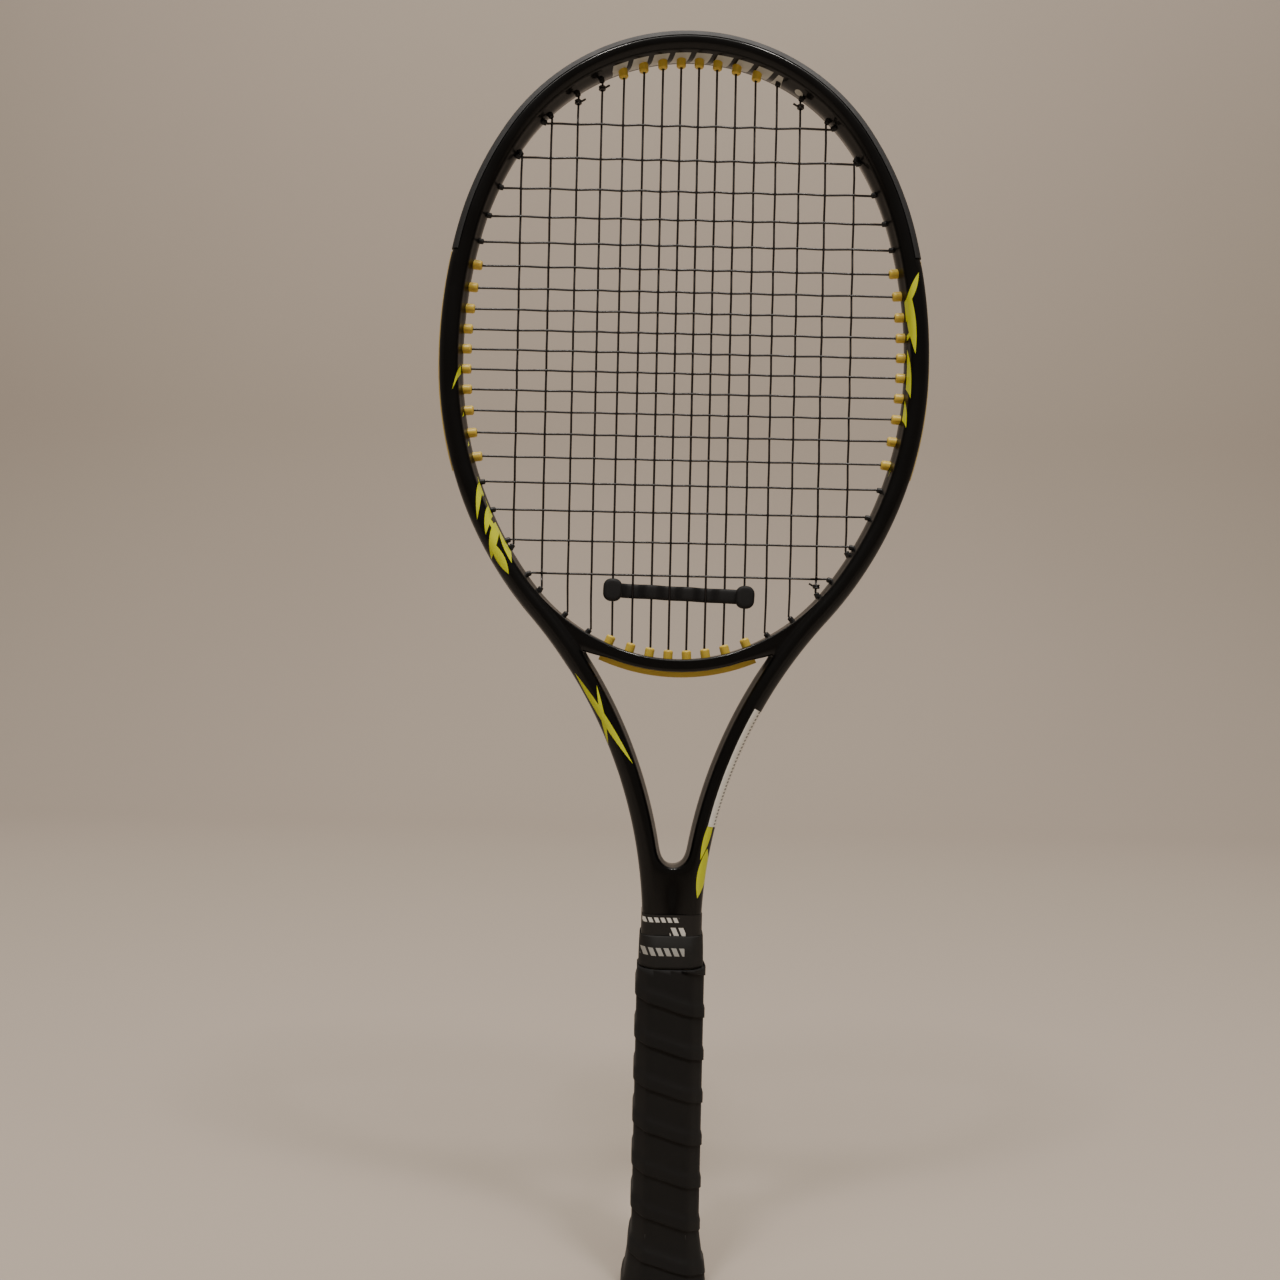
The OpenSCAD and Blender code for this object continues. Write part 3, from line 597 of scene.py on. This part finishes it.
def add_web(bm, rows, first):
    """Joins the two shafts below the throat: the tube's open inner side is drawn in to the middle."""
    last = len(rows) - 1
    far = SECTION_COUNT - COLUMN_120
    remove_inner(bm, rows, first, last, COLUMN_120)
    chain = ([rows[s][COLUMN_120] for s in range(last, first, -1)]
             + [rows[first][k] for k in range(COLUMN_120, far + 1)]
             + [rows[s][far] for s in range(first + 1, last + 1)])
    top_z = rows[first][COLUMN_MIDDLE].co.z
    foot_z = rows[last][COLUMN_120].co.z
    widest = rows[first][COLUMN_120].co.y
    row = chain
    for share in (0.5, 1):
        points = []
        for vert in chain:
            x, y, z = vert.co
            if vert in rows[first]:
                half = widest + (WEB_HALF_TOP - widest) * share
                depth = y / widest * half
                height = z + (CROTCH_Z - top_z) * (1 - (1 - share) ** 2)
            else:
                rise = (z - foot_z) / (CROTCH_Z - foot_z)
                half = WEB_HALF_FOOT + (WEB_HALF_TOP - WEB_HALF_FOOT) * smooth(rise)
                depth = y + (math.copysign(half, y) - y) * share
                height = z + (min(z, CROTCH_Z - 3 + (z - CROTCH_Z) * 0.2) - z) * share
            points.append(Vector((x * (1 - share), depth, height)))
        row = extrude_to(bm, row, points, closed=False)


STEM_IN = 8.3
STEM_R = 5.2
STEM_FLAT = 5.4
STEM_FOOT = 14
# Angles down the tube between which the bridge grows out of it, and where the web starts
BRIDGE_TURNS = (127, 138.4)
WEB_TURN = 164.4
FOOT_Z = along(FOOT_TURN, 0).z


def pill_ring(x, z, radius, flat, steps=8):
    """A ring with two straight sides and two round ends, at a height."""
    ring = []
    for end in (0, 180):
        for turn in linspace(end, end + 180, steps):
            angle = math.radians(turn)
            middle = flat if end == 0 else -flat
            ring.append(Vector((x + radius * math.cos(angle), middle + radius * math.sin(angle), z)))
    return ring


def build_frame():
    """The whole carbon moulding: half of the tube, bridge and web, mirrored, and the two stems."""
    bm = bmesh.new()
    crease = bm.edges.layers.float.new("crease_edge")
    angles = tube_stations()
    stations = [place_section(a, section(SEAT_DEPTH if a < GUARD_END else 0, a < GROOVE_END + 1))
                for a in angles]
    rows = loft(bm, stations)
    groove_rows = [row for row, a in zip(rows, angles) if a < GROOVE_END + 1]
    for row, below in zip(groove_rows, groove_rows[1:]):
        for k in CORNERS:
            edge = bm.edges.get((row[k], below[k]))
            edge[crease] = 1
            edge.smooth = False
    add_bridge(bm, rows, *[nearest(angles, turn) for turn in BRIDGE_TURNS])
    add_web(bm, rows, nearest(angles, WEB_TURN))
    bmesh.ops.mirror(bm, geom=bm.verts[:] + bm.edges[:] + bm.faces[:], merge_dist=0.02, axis="X")
    rims = [edge for edge in bm.edges if edge.is_boundary]
    for edge in rims:
        edge[crease] = 1
    bmesh.ops.holes_fill(bm, edges=rims, sides=0)
    for side in (-1, 1):
        stem = loft(bm, [pill_ring(side * STEM_IN, z, STEM_R, STEM_FLAT)
                         for z in (STEM_FOOT, STEM_FOOT + 1, FOOT_Z - 1, FOOT_Z + 1)])
        cap(bm, stem[0])
        cap(bm, stem[-1])
    piece = piece_of("frame_moulding", mesh_of("frame_moulding", bm), "racket", paint,
                     ("frame_tube", "throat_bridge"))
    subdivide(piece, 2)


build_frame()


# ---------------------------------------------------------------- strings
MAIN_STEP = 9.82
MAIN_SPREAD = 0.0421
CROSS_STEP = 10.9
CROSS_SPREAD_UP = 0.0367
CROSS_SPREAD_DOWN = 0.033
CROSS_MID_Z = 511.7
BRIGHT_OUT = 4.8
BLACK_OUT = 2.4
LANE_Y = 1.35
RUN_DEPTH = GROOVE_FLOOR + 0.8 + STRING_R + 0.475
WEAVE = STRING_R + 0.02


def main_x(m):
    """How far a main is from the middle; the steps grow outwards."""
    return MAIN_STEP * m + MAIN_SPREAD * m ** 3


def cross_z(n):
    """The height of a cross, counted up from the middle one."""
    return CROSS_MID_Z + CROSS_STEP * n + (CROSS_SPREAD_UP if n > 0 else CROSS_SPREAD_DOWN) * n ** 3


def hoop_hit(value, depth, way):
    """The angle where a line of given x (way "top" or "low") or z (way "side") meets the hoop."""
    for i, (radius, sweep) in enumerate(ARCS):
        centre = ARC_CENTRES[i].z if way == "side" else ARC_CENTRES[i].x
        share = (value - centre) / (radius + depth)
        if abs(share) > 1:
            continue
        angle = math.degrees(math.acos(share) if way == "side" else math.asin(share))
        if way == "low":
            angle = 180 - angle
        if ARC_STARTS[i] <= angle <= ARC_STARTS[i] + sweep:
            return i, angle
    raise ValueError("the line misses the hoop")


class StringEnd:
    """Where a string leaves the bed: its mouth, the way it leans and the arc that it crosses."""

    def __init__(self, mouth, lean, kind, centre, radius):
        self.mouth = mouth
        self.lean = lean
        self.kind = kind
        self.centre = centre
        self.radius = radius

    def reach(self, depth):
        """How far along the bore the given depth is."""
        inward = -1 if self.kind == "throat" else 1
        offset = self.mouth - self.centre
        b = offset.dot(out(self.lean))
        goal = self.radius + inward * depth
        return -b + inward * math.sqrt(b * b - offset.length_squared + goal * goal)

    def point(self, distance):
        return self.mouth + distance * out(self.lean)

    def turn(self):
        """The angle of its outer end, on the tube or round the bridge's centre."""
        if self.kind == "bridge":
            return 180 - self.lean
        offset = self.point(self.reach(RUN_DEPTH)) - self.centre
        if self.kind == "throat":
            return 2 * HOOP_END - math.degrees(math.atan2(-offset.x, -offset.z))
        return math.degrees(math.atan2(offset.x, offset.z))


def hoop_end(value, way, out_by):
    i, angle = hoop_hit(value, -TUBE_R - out_by, way)
    lean = {"top": angle / 2, "side": (angle + 90) / 2, "low": (angle + 180) / 2}[way]
    return StringEnd(along(angle, -TUBE_R - out_by), lean, "hoop", ARC_CENTRES[i], ARCS[i][0])


def main_top(m):
    return hoop_end(main_x(m), "top", BRIGHT_OUT if m < 4 else BLACK_OUT)


def main_low(m):
    if m > 6:
        return hoop_end(main_x(m), "low", BLACK_OUT)
    x = main_x(m)
    out_by = BRIGHT_OUT if m < 4 else BLACK_OUT
    mouth = Vector((x, 0, BRIDGE_C.z - math.sqrt((BRIDGE_R - out_by) ** 2 - x * x)))
    if m > 4:
        return StringEnd(mouth, 135 if m < 5 else 138, "throat", THROAT_C, THROAT_R)
    lean = 180 - math.degrees(math.asin(x / (BRIDGE_R - out_by)))
    return StringEnd(mouth, lean, "bridge", BRIDGE_C, BRIDGE_R + BRIDGE_T - GROOVE_FLOOR)


def cross_end(n):
    return hoop_end(cross_z(n), "side", BRIGHT_OUT if -5 <= n <= 4 else BLACK_OUT)


def mirrored(point, side, y):
    """A point of the right half, put on a side and at a depth."""
    return Vector((side * point.x, y, point.z))


def way_out(end, side, lane):
    """From the mouth through the bore to the bend outside the tube."""
    far = end.reach(RUN_DEPTH)
    return [mirrored(end.point(-0.5), side, 0), mirrored(end.point(far / 2), side, 0),
            mirrored(end.point(far - 0.9), side, 0), mirrored(end.point(far - 0.25), side, lane / 4)]


def outside_run(first, first_side, second, second_side, lane):
    """Along the outside of the tube or the bridge, from one bore to the next."""
    points = []
    start, end = first_side * first.turn(), second_side * second.turn()
    for share in (0.1, 0.3, 0.5, 0.7, 0.9):
        angle = start + share * (end - start)
        side = -1 if angle < 0 else 1
        if first.kind == "bridge":
            point = BRIDGE_C + (first.radius + RUN_DEPTH) * out(180 - abs(angle))
        else:
            point = along(abs(angle), RUN_DEPTH)
        points.append(mirrored(point, side, lane))
    return points


# The share of the bed at each end in which a string leaves its mouth
BED_EASE = 0.04


def woven(start, end, crossings, offsets, axis):
    """The bed stretch of one string: over and under the strings that it crosses."""
    marks = [start[axis] + (end[axis] - start[axis]) * BED_EASE] + crossings
    marks.append(end[axis] + (start[axis] - end[axis]) * BED_EASE)
    levels = [0] + offsets + [0]
    points = []
    for a, b, low, high in zip(marks, marks[1:], levels, levels[1:]):
        for share in (0, 0.25, 0.5, 0.75):
            point = start.copy()
            point[axis] = a + (b - a) * share
            point.y = low + (high - low) * smooth(share)
            points.append(point)
    return points


def main_route():
    """The one cord of the mains, down and up the bed and round outside at each end."""
    route = []
    for k in range(16):
        m = abs(k - 7.5)
        side = 1 if k > 7 else -1
        top, low = main_top(m), main_low(m)
        crossings = [cross_z(n) for n in range(9, -10, -1)]
        fits = [z for z in crossings if low.mouth.z + 3 < z < top.mouth.z - 3]
        offsets = [-WEAVE if (k + crossings.index(z)) % 2 == 0 else WEAVE for z in fits]
        bed = woven(mirrored(top.mouth, side, 0), mirrored(low.mouth, side, 0), fits, offsets, 2)
        for point in bed:
            point.x = side * main_x(m)
        stretch = list(reversed(way_out(top, side, -LANE_Y))) + bed + way_out(low, side, -LANE_Y)
        down = k % 2 == 0
        route += stretch if down else reversed(stretch)
        if k < 15:
            next_m = abs(k + 1 - 7.5)
            next_side = 1 if k + 1 > 7 else -1
            ends = (low, main_low(next_m)) if down else (top, main_top(next_m))
            route += outside_run(ends[0], side, ends[1], next_side, -LANE_Y)
    return route


def cross_route():
    """The one cord of the crosses, from the tip down."""
    route = []
    for j in range(19):
        n = 9 - j
        end = cross_end(n)
        side = 1 if j % 2 == 0 else -1
        mains = [(1 if k > 7 else -1) * main_x(abs(k - 7.5)) for k in range(16)]
        fits = [x for x in mains if abs(x) < end.mouth.x - 3]
        offsets = [WEAVE if (mains.index(x) + j) % 2 == 0 else -WEAVE for x in fits]
        if side < 0:
            fits.reverse()
            offsets.reverse()
        bed = woven(mirrored(end.mouth, -side, 0), mirrored(end.mouth, side, 0), fits, offsets, 0)
        route += reversed(way_out(end, -side, LANE_Y))
        route += bed
        route += way_out(end, side, LANE_Y)
        if j < 18:
            route += outside_run(end, side, cross_end(n - 1), side, LANE_Y)
    return route


def cord_mesh(name, route, radius):
    """A round cord along a route, as a mesh."""
    curve = bpy.data.curves.new(name, "CURVE")
    curve.dimensions = "3D"
    curve.bevel_depth = radius * MM
    curve.bevel_resolution = 2
    curve.use_fill_caps = True
    line = curve.splines.new("POLY")
    line.points.add(len(route) - 1)
    for place, point in zip(line.points, route):
        place.co = (*(point * MM), 1)
    holder = bpy.data.objects.new(name, curve)
    bpy.context.scene.collection.objects.link(holder)
    bpy.context.view_layer.update()
    mesh = bpy.data.meshes.new_from_object(holder.evaluated_get(bpy.context.evaluated_depsgraph_get()))
    bpy.data.objects.remove(holder)
    mesh.materials.clear()
    return mesh


piece_of("mains", cord_mesh("mains", main_route(), STRING_R), "racket", string_coat,
         ("main_strings",))
piece_of("crosses", cord_mesh("crosses", cross_route(), STRING_R), "racket", string_coat,
         ("cross_strings",))


# ---------------------------------------------------------------- the grip
# Half the handle's width and depth under the wraps, and the cut of its corners
GRIP_HALF = Vector((15.7, 13.6))
GRIP_CUT = 5.8
GRIP_TOP = box_mm("overgrip")[1].z
GRIP_LOW = box_mm("overgrip")[0].z
FLARE_TOP = 35
FLARE_GROWTH = 5.1
FLARE_POWER = 1.1
WRAP_PITCH = 23
WRAP_OVERLAP = 5
WRAP_THICK = 0.75
WRAP_SKEW = 1.94
WRAP_BASE = 1.9


def octagon_radius(turn, grow, sharpness=26):
    """How far the eight-sided handle reaches at an angle (0 at the front), its corners rounded."""
    wide, deep = GRIP_HALF.x + grow, GRIP_HALF.y + grow
    cut = GRIP_CUT + grow * (2 - math.sqrt(2))
    corner = (wide + deep - cut) / math.sqrt(2)
    total = 0
    for facing, distance in ((0, deep), (90, wide), (180, deep), (270, wide),
                             (45, corner), (135, corner), (225, corner), (315, corner)):
        lean = math.cos(math.radians(turn - facing))
        if lean > 0.05:
            total += (lean / distance) ** sharpness
    return total ** (-1 / sharpness)


def flare(z):
    """How much the handle has grown at a height, towards the butt."""
    return FLARE_GROWTH * (1 - z / FLARE_TOP) ** FLARE_POWER if z < FLARE_TOP else 0


def grip_point(turn, z, grow):
    """A point on the handle, grown outwards by the wraps and the flare."""
    radius = octagon_radius(turn, grow + flare(z))
    angle = math.radians(turn)
    return Vector((radius * math.sin(angle), -radius * math.cos(angle), z))


def build_overgrip():
    """One long strip wound up the handle, each turn lying over the edge of the last."""
    per_turn = 96
    turns = math.ceil((GRIP_TOP - GRIP_LOW) / WRAP_PITCH) + 2
    last = WRAP_PITCH + WRAP_OVERLAP
    columns = (0, 0.7, 2, 3.6, WRAP_OVERLAP, 6.2, 7.6, 10, 14, 18, 21, 24, last)
    stations = []
    for step in range(per_turn * turns + 1):
        wound = 360 * step / per_turn
        edge = GRIP_LOW - WRAP_PITCH * 1.4 + WRAP_PITCH * wound / 360
        edge += WRAP_SKEW * math.sin(math.radians(wound))
        row = []
        for across in columns:
            lift = WRAP_THICK * (1 - smooth((across - WRAP_OVERLAP) / 3)) + 0.05
            z = edge + across
            row.append(grip_point(-wound, max(z, GRIP_LOW - 4), WRAP_BASE + lift))
        stations.append(row)
    bm = bmesh.new()
    loft(bm, stations, closed=False)
    for height, facing in ((GRIP_LOW + 0.05, -1), (GRIP_TOP, 1)):
        bmesh.ops.bisect_plane(bm, geom=bm.verts[:] + bm.edges[:] + bm.faces[:],
                               plane_co=(0, 0, height), plane_no=(0, 0, facing), clear_outer=True)
    mesh = mesh_of("overgrip_wrap", bm)
    piece = piece_of("overgrip_wrap", mesh, "racket", film, ("overgrip",))
    thicken = piece.modifiers.new("film", "SOLIDIFY")
    thicken.thickness = WRAP_THICK * MM
    thicken.offset = 1
    thicken.use_even_offset = False


build_overgrip()

TAPE_HALF = Vector((STEM_X + TUBE_R + 0.55, TUBE_R + TUBE_FLAT + 0.55))


def tape_radius(turn, grow):
    """How far the taped shafts reach at an angle: a flat front with round sides."""
    wide, deep = TAPE_HALF.x + grow, TAPE_HALF.y + grow
    angle = math.radians(turn)
    power = 4.5
    return ((abs(math.sin(angle)) / wide) ** power + (abs(math.cos(angle)) / deep) ** power) ** (-1 / power)


def build_collar():
    """A soft sleeve over the top of the grip; its lip closes in on the taped shafts."""
    low, high = box_mm("rubber_collar")[0].z, box_mm("rubber_collar")[1].z
    # Each ring: its height, how far it stands off the handle, how far it has closed on the shafts
    profile = ((low, 1.25, 0), (low + 0.1, 1.75, 0), (low + 1, 2.05, 0), (low + 4, 1.95, 0),
               (high - 5, 1.9, 0), (high - 2.2, 1.5, 0.25), (high + 0.8, 1, 0.8), (high + 2.2, 0.7, 1),
               (high + 2.4, 0.35, 1), (high + 1.2, 0.25, 0.95), (high - 1.5, 0.9, 0.3),
               (high - 4, 1.15, 0), (low + 2, 1.15, 0))
    count = 64
    stations = []
    for z, grow, closing in profile:
        ring = []
        for k in range(count):
            turn = 360 * k / count
            radius = (1 - closing) * octagon_radius(turn, grow) + closing * tape_radius(turn, grow)
            angle = math.radians(turn)
            ring.append(Vector((radius * math.sin(angle), -radius * math.cos(angle), z)))
        stations.append(ring)
    bm = bmesh.new()
    rows = loft(bm, stations)
    extrude_to(bm, rows[-1], stations[0])
    bmesh.ops.remove_doubles(bm, verts=bm.verts, dist=0.001)
    piece = piece_of("collar_sleeve", mesh_of("collar_sleeve", bm), "collar", rubber,
                     ("rubber_collar",))
    subdivide(piece, 1)


build_collar()


# ---------------------------------------------------------------- dampener
STRAP_T = 2.2
STRAP_H = 8
STRAP_TILT = 2
STRAP_ROOM = 0.35
STRAP_CORNER = 0.8
# The share of each gap between mains in which the strap still lies flat
STRAP_REST = 0.18
STRAP_OFF = STRING_R + STRAP_ROOM + STRAP_T / 2
STRAP_FRONT = -WEAVE - STRAP_OFF
STRAP_BACK = -WEAVE + STRAP_OFF
KNOB = Vector((10.4, 5.6, 12.6))
KNOB_CORNER = 4.4
KNOB_EDGE = 1.9
KNOB_BACK = -1.52
damper_low, damper_high = box_mm("dampener")
DAMPER_Z = (damper_low.z + damper_high.z) / 2


def strap_level(x):
    """How deep the strap lies: in front of one main, behind the next."""
    mains = [math.copysign(main_x(abs(k - 3.5)), k - 3.5) for k in range(8)]
    levels = [STRAP_FRONT, STRAP_BACK] * 3 + [STRAP_FRONT] * 2
    for (a, b), (low, high) in zip(zip(mains, mains[1:]), zip(levels, levels[1:])):
        if a <= x <= b:
            return low + (high - low) * smooth(((x - a) / (b - a) - STRAP_REST) / (1 - 2 * STRAP_REST))
    return STRAP_FRONT


def build_dampener():
    """The strap woven through the middle mains, with a knob at each end."""
    bm = bmesh.new()
    reach = main_x(3.5)
    half, corner = STRAP_T / 2, STRAP_CORNER
    top = STRAP_H / 2
    quarter = ((half, 0), (half, top - corner), (half - corner, top))
    right = list(quarter) + [(-y, z) for y, z in reversed(quarter)]
    outline = right + [(-y, -z) for y, z in right[1:-1]]
    stations = [[Vector((x, strap_level(x) + y, z)) for y, z in outline]
                for x in linspace(-reach, reach, 64)]
    rows = loft(bm, stations)
    cap(bm, rows[0])
    cap(bm, rows[-1])
    for side in (-1, 1):
        add_knob(bm, Vector((side * reach, KNOB_BACK - KNOB.y / 2, 0)))
    turn = Matrix.Rotation(math.radians(STRAP_TILT), 4, "Y")
    bm.transform(Matrix.Translation((0, 0, DAMPER_Z)) @ turn)
    piece = piece_of("dampener_worm", mesh_of("dampener_worm", bm), "damper",
                     damper_rubber, ("dampener",))
    subdivide(piece, 1)


def add_knob(bm, middle):
    """A drum with a rounded outline and soft edges."""
    made = bmesh.ops.create_cube(bm, size=1)["verts"]
    bmesh.ops.scale(bm, verts=made, vec=KNOB)
    bmesh.ops.translate(bm, verts=made, vec=middle)
    edges = {edge for vert in made for edge in vert.link_edges}
    through = [edge for edge in edges if abs(edge.verts[0].co.y - edge.verts[1].co.y) > KNOB.y / 2]
    rounded = bmesh.ops.bevel(bm, geom=through, offset=KNOB_CORNER, segments=6, profile=0.5,
                              affect="EDGES", material=-1)
    sides = set(rounded["faces"])
    rims = {edge for face in sides for edge in face.edges
            if abs(edge.verts[0].co.y - edge.verts[1].co.y) < 0.01}
    flats = {face for edge in rims for face in edge.link_faces if len(face.verts) > 4}
    rims = {edge for face in flats for edge in face.edges}
    bmesh.ops.bevel(bm, geom=list(rims), offset=KNOB_EDGE, segments=4, profile=0.5, affect="EDGES",
                    material=-1)


build_dampener()


# ---------------------------------------------------------------- CAD nodes that stay
KEPT = {
    "head_guard": guard_nylon,
    "tip_grommets": bright_nylon,
    "left_side_grommets": bright_nylon,
    "right_side_grommets": bright_nylon,
    "lower_left_grommets": black_nylon,
    "lower_right_grommets": black_nylon,
    "throat_grommets": bright_nylon,
    "string_knots": string_coat,
    "shaft_label": paper,
    "handle_pallet": foam,
    "butt_cap": cap_plastic,
    "trap_door": cap_plastic,
    "trap_door_pin": steel_wire,
    "cap_staples": steel_wire,
    "grip_staple": steel_wire,
    "base_grip": leather,
    "finishing_tape": tape,
}
for name, finish in KEPT.items():
    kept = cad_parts[name]
    if not kept.material_slots:
        kept.data.materials.append(finish)
    for material_slot in kept.material_slots:
        material_slot.material = finish


# ---------------------------------------------------------------- backdrop, light and camera
FLOOR_FRONT = -4000
BEND_Y = 1700
BEND_R = 900
WALL_TOP = 4500
BACKDROP_HALF = 5000
LAMP_TINT = "#fff9f2"
CAMERA_PLACE = (-0.0206, -0.703, 0.354)
CAMERA_ROLL = 1.274


def build_backdrop():
    """A pale floor that curves up into a plain wall well behind the racket."""
    floor_z = cad_box[0].z / MM
    profile = [(FLOOR_FRONT, 0), (0, 0)]
    for turn in linspace(0, 90, 24):
        angle = math.radians(turn)
        profile.append((BEND_Y + BEND_R * math.sin(angle), BEND_R * (1 - math.cos(angle))))
    profile.append((BEND_Y + BEND_R, WALL_TOP))
    bm = bmesh.new()
    loft(bm, [[Vector((side * BACKDROP_HALF, y, floor_z + z)) for side in (-1, 1)] for y, z in profile],
         closed=False)
    mesh = mesh_of("backdrop", bm)
    backdrop = bpy.data.objects.new("backdrop", mesh)
    bpy.context.scene.collection.objects.link(backdrop)
    # Painted board: matt, nearly even, with a faint roller texture
    matt = Finish("painted board, matt", "#b9aea2", "#b4a99d", 0.9, 900, 6, 0.05, IOR=1.45)
    mesh.materials.append(matt.done())
    for face in mesh.polygons:
        face.use_smooth = True


def add_light(name, place, target, size, power):
    """A soft rectangular lamp aimed at a target; places are in metres and the power in watts."""
    lamp = bpy.data.lights.new(name, "AREA")
    lamp.shape = "RECTANGLE"
    lamp.size, lamp.size_y = size
    lamp.energy = power
    lamp.color = colour(LAMP_TINT)[:3]
    holder = bpy.data.objects.new(name, lamp)
    bpy.context.scene.collection.objects.link(holder)
    holder.location = place
    aim = Vector(target) - Vector(place)
    holder.rotation_euler = aim.to_track_quat("-Z", "Y").to_euler()


build_backdrop()
add_light("overhead", (0, 0.9, 3.4), (0, 1.3, 0), (4.5, 2.0), 62)
add_light("wall_wash", (0, -1.2, 3.2), (0, 2.6, 0.9), (3.5, 0.8), 54)
add_light("ceiling_left", (-0.35, -0.75, 1.9), (0, 0, 0.4), (0.22, 0.22), 11)
add_light("ceiling_right", (0.4, -0.7, 1.9), (0, 0, 0.4), (0.22, 0.22), 11)

world = bpy.data.worlds.new("studio")
world.use_nodes = True
world.node_tree.nodes["Background"].inputs["Color"].default_value = colour("#a99d90")
world.node_tree.nodes["Background"].inputs["Strength"].default_value = 0.5
bpy.context.scene.world = world

camera_data = bpy.data.cameras.new("camera")
camera_data.lens = 36
camera_data.sensor_width = 36
camera = bpy.data.objects.new("camera", camera_data)
bpy.context.scene.collection.objects.link(camera)
camera.location = CAMERA_PLACE
camera.rotation_euler = (Matrix.Rotation(math.radians(-CAMERA_ROLL), 3, "Y")
                         @ Matrix.Rotation(math.radians(90), 3, "X")).to_euler()
bpy.context.scene.camera = camera
